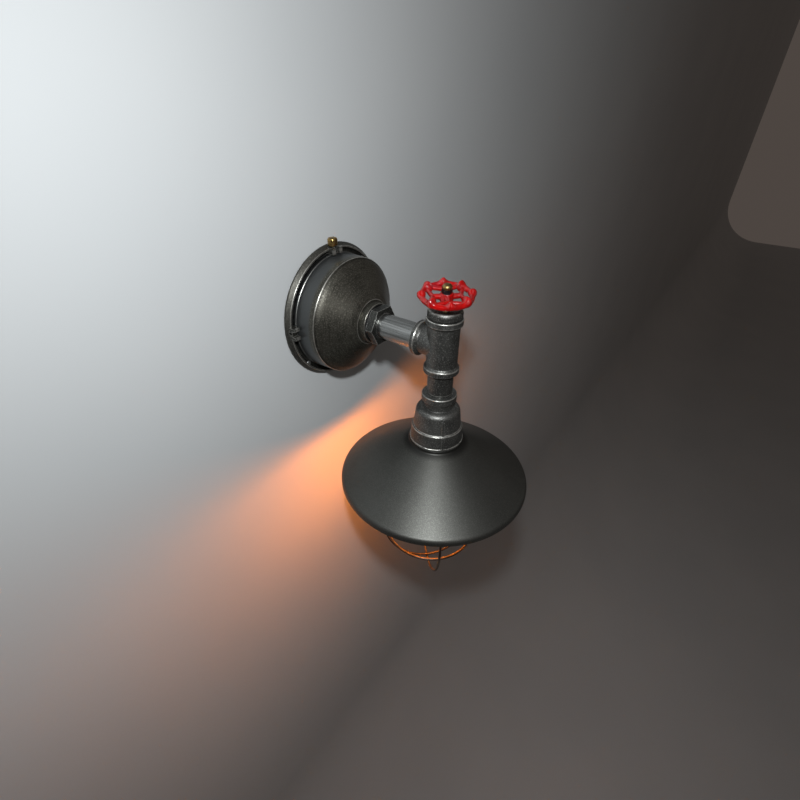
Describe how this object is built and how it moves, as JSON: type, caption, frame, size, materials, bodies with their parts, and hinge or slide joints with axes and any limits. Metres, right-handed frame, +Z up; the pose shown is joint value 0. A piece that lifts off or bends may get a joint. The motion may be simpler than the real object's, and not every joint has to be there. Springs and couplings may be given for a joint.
{
  "type": "wall sconce",
  "caption": "Industrial wall sconce: round bell cover, pipe arm and tee with a red valve handwheel, conical metal shade and a wire cage round the lamp",
  "frame": {"origin": "centre of the mounting plate's back face, in the wall plane and between the two wall screws", "axes": "+Z up, +Y into the wall, the lamp stands out along -Y; +X to the right seen from the front"},
  "size_m": [0.2154, 0.2547, 0.4011],
  "materials": {
    "gunmetal": "dark antiqued cast iron, satin, with rubbed bright edges",
    "cover_steel": "spun steel, dark brushed finish with a warm grey sheen",
    "shade_steel": "spun sheet steel, fine textured dark satin paint",
    "nipple_steel": "bright brushed steel pipe under a dark glaze",
    "pipe_steel": "dark steel pipe, satin",
    "zinc_steel": "zinc plated steel, dull",
    "wire_steel": "steel wire, dark satin paint",
    "wheel_red": "cast metal, glossy red enamel",
    "brass": "aged brass, satin",
    "dark_steel": "blackened steel, satin",
    "phenolic": "moulded dark brown insulating plastic, matt",
    "ceramic": "white glazed insulating disc",
    "glass_clear": "clear lamp glass",
    "filament": "tungsten wire, glowing when lit",
    "cable_black": "black insulated single-core wire",
    "cable_white": "white insulated single-core wire"
  },
  "bodies": {
    "lamp": {"mounting_plate": "zinc_steel", "wall_ring": "cover_steel", "ring_rivets": "zinc_steel", "grub_screws": "dark_steel", "cover": "cover_steel", "hub_washer": "dark_steel", "lock_nut_front": "gunmetal", "lock_nut_back": "zinc_steel", "arm_nipple": "nipple_steel", "tee": "gunmetal", "top_plug": "gunmetal", "switch_body": "phenolic", "switch_bush": "brass", "switch_nut": "brass", "drop_nipple": "pipe_steel", "reducer": "gunmetal", "holder_bushing": "zinc_steel", "lampholder_body": "phenolic", "contact_disc": "ceramic", "screw_shell": "brass", "lamp_cap": "brass", "lamp_glass": "glass_clear", "lamp_stem": "glass_clear", "lamp_filament": "filament", "shade": "shade_steel", "cage_collar": "wire_steel", "cage_ring_nut": "wire_steel", "cage_wire_lower": "wire_steel", "cage_wire_upper": "wire_steel", "cage_ring": "wire_steel", "terminal_block": "ceramic", "earth_screw": "brass", "wire_live": "cable_black", "wire_neutral": "cable_white", "wire_switched": "cable_black"},
    "wheel": {"handwheel": "wheel_red", "switch_spindle": "dark_steel", "wheel_lock_nut": "dark_steel", "wheel_cap_nut": "brass"},
    "screw": {"thumb_screw": "brass"}
  },
  "joints": [
    {"name": "handwheel_turn", "type": "hinge", "parent": "lamp", "child": "wheel", "pos_m": [0, -0.147, 0.0416], "axis": [0, 0, 1], "range_deg": [0, 270]},
    {"name": "thumb_screw_turn", "type": "hinge", "parent": "lamp", "child": "screw", "pos_m": [-0.00257, -0.008, 0.06995], "axis": [-0.0366, 0, 0.9993], "continuous": true}
  ]
}
